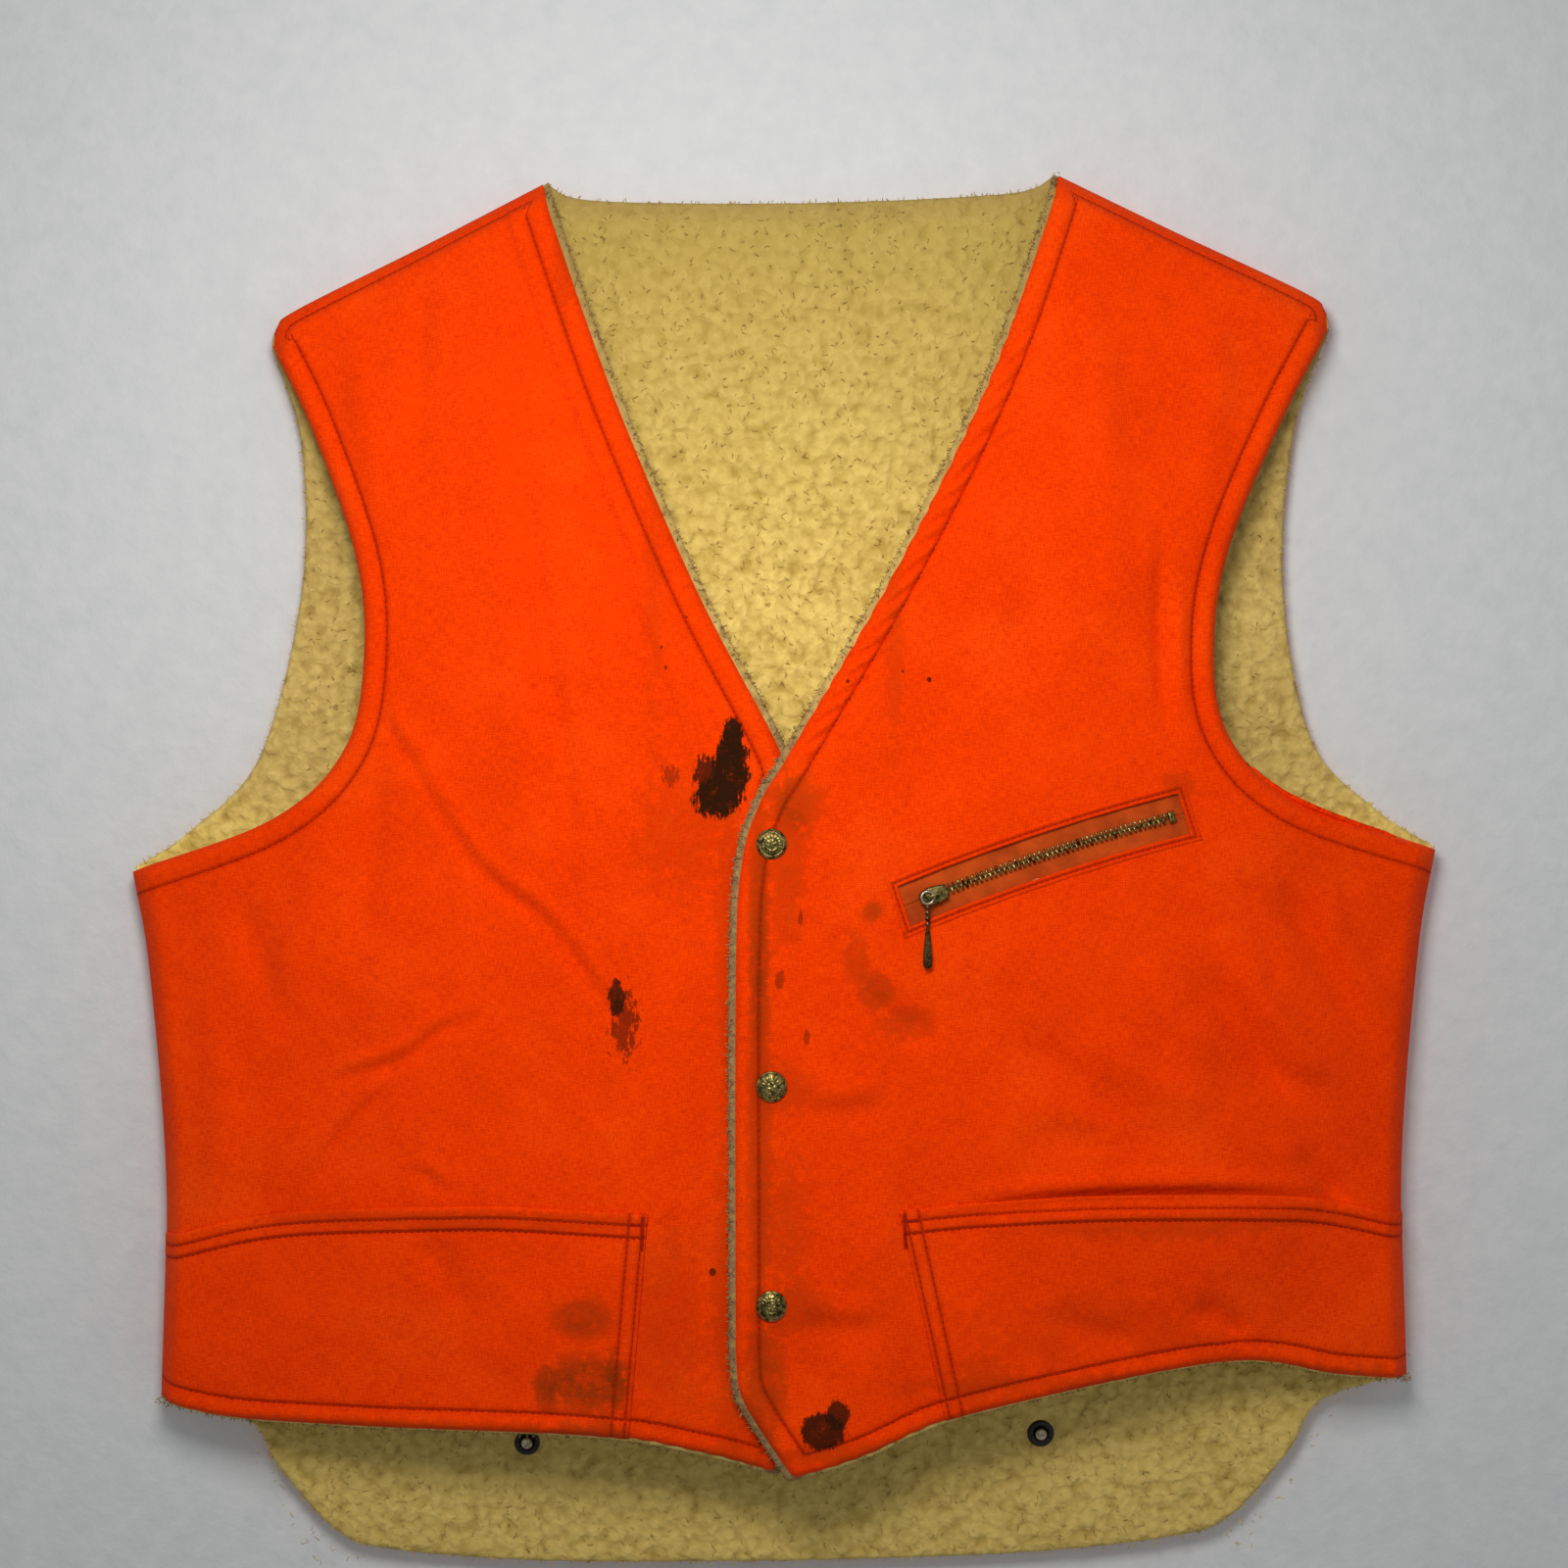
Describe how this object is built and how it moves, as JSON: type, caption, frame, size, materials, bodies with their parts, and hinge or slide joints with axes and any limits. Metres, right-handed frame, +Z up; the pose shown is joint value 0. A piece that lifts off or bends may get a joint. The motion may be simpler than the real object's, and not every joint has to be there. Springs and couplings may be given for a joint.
{
  "type": "high visibility vest",
  "caption": "Blaze orange sherpa-lined hunting vest hanging from its shoulders, with a snap front, a zipped chest pocket, patch pockets and a long tail.",
  "frame": {"origin": "midway between the two neck points, where a hanger carries the vest", "axes": "+X to the wearer's left, +Y to the wearer's back, +Z up; the back lies on the plane Y = 0"},
  "size_m": [0.662, 0.0682, 0.7045],
  "materials": {
    "orange_duck": "plain-woven cotton, matte",
    "sherpa": "knotted wool-like pile",
    "zip_tape": "woven tape, soiled",
    "bag_cloth": "thin twill",
    "aged_brass": "antique brass, satin",
    "black_metal": "black enamel, satin"
  },
  "bodies": {
    "root": {"back_shell": "orange_duck", "back_lining": "sherpa", "left_side_shell": "orange_duck", "left_side_lining": "sherpa", "right_side_shell": "orange_duck", "right_side_lining": "sherpa", "left_pocket_side": "orange_duck", "right_pocket_side": "orange_duck", "tail_snap_left_stud": "black_metal", "tail_snap_left_cap": "aged_brass", "tail_snap_right_stud": "black_metal", "tail_snap_right_cap": "aged_brass"},
    "left_front": {"left_front_shell": "orange_duck", "left_front_lining": "sherpa", "left_lower_pocket": "orange_duck", "chest_pocket_bag": "bag_cloth", "zip_tape_upper": "zip_tape", "zip_tape_lower": "zip_tape", "zip_chain_upper": "aged_brass", "zip_chain_lower": "aged_brass", "zip_end_stop": "aged_brass", "snap_1_cap": "aged_brass", "snap_1_socket": "aged_brass", "snap_2_cap": "aged_brass", "snap_2_socket": "aged_brass", "snap_3_cap": "aged_brass", "snap_3_socket": "aged_brass"},
    "right_front": {"right_front_shell": "orange_duck", "right_front_lining": "sherpa", "right_lower_pocket": "orange_duck", "snap_1_stud": "aged_brass", "snap_1_eyelet": "aged_brass", "snap_2_stud": "aged_brass", "snap_2_eyelet": "aged_brass", "snap_3_stud": "aged_brass", "snap_3_eyelet": "aged_brass"},
    "zip_slider": {"zip_slider": "aged_brass"},
    "zip_pull": {"zip_pull": "aged_brass"}
  },
  "joints": [
    {"name": "left_front_open", "type": "hinge", "parent": "root", "child": "left_front", "pos_m": [0.1985, -0.04963, -0.3], "axis": [-0.2973, -0.0227, 0.9545], "range_deg": [0, 140]},
    {"name": "right_front_open", "type": "hinge", "parent": "root", "child": "right_front", "pos_m": [-0.1917, -0.04963, -0.3], "axis": [-0.3182, 0.0225, -0.9478], "range_deg": [0, 70]},
    {"name": "zip_slide", "type": "slide", "parent": "left_front", "child": "zip_slider", "axis": [0.9472, 0.0853, 0.309], "range_m": [0, 0.115]},
    {"name": "zip_pull_swing", "type": "hinge", "parent": "zip_slider", "child": "zip_pull", "pos_m": [0.06768, -0.0638, -0.36217], "axis": [-0.0896, 0.996, 0], "range_deg": [-60, 60]}
  ],
  "couplings": [
    {"joint": "right_front_open", "follows": "left_front_open", "ratio": 0.5}
  ]
}
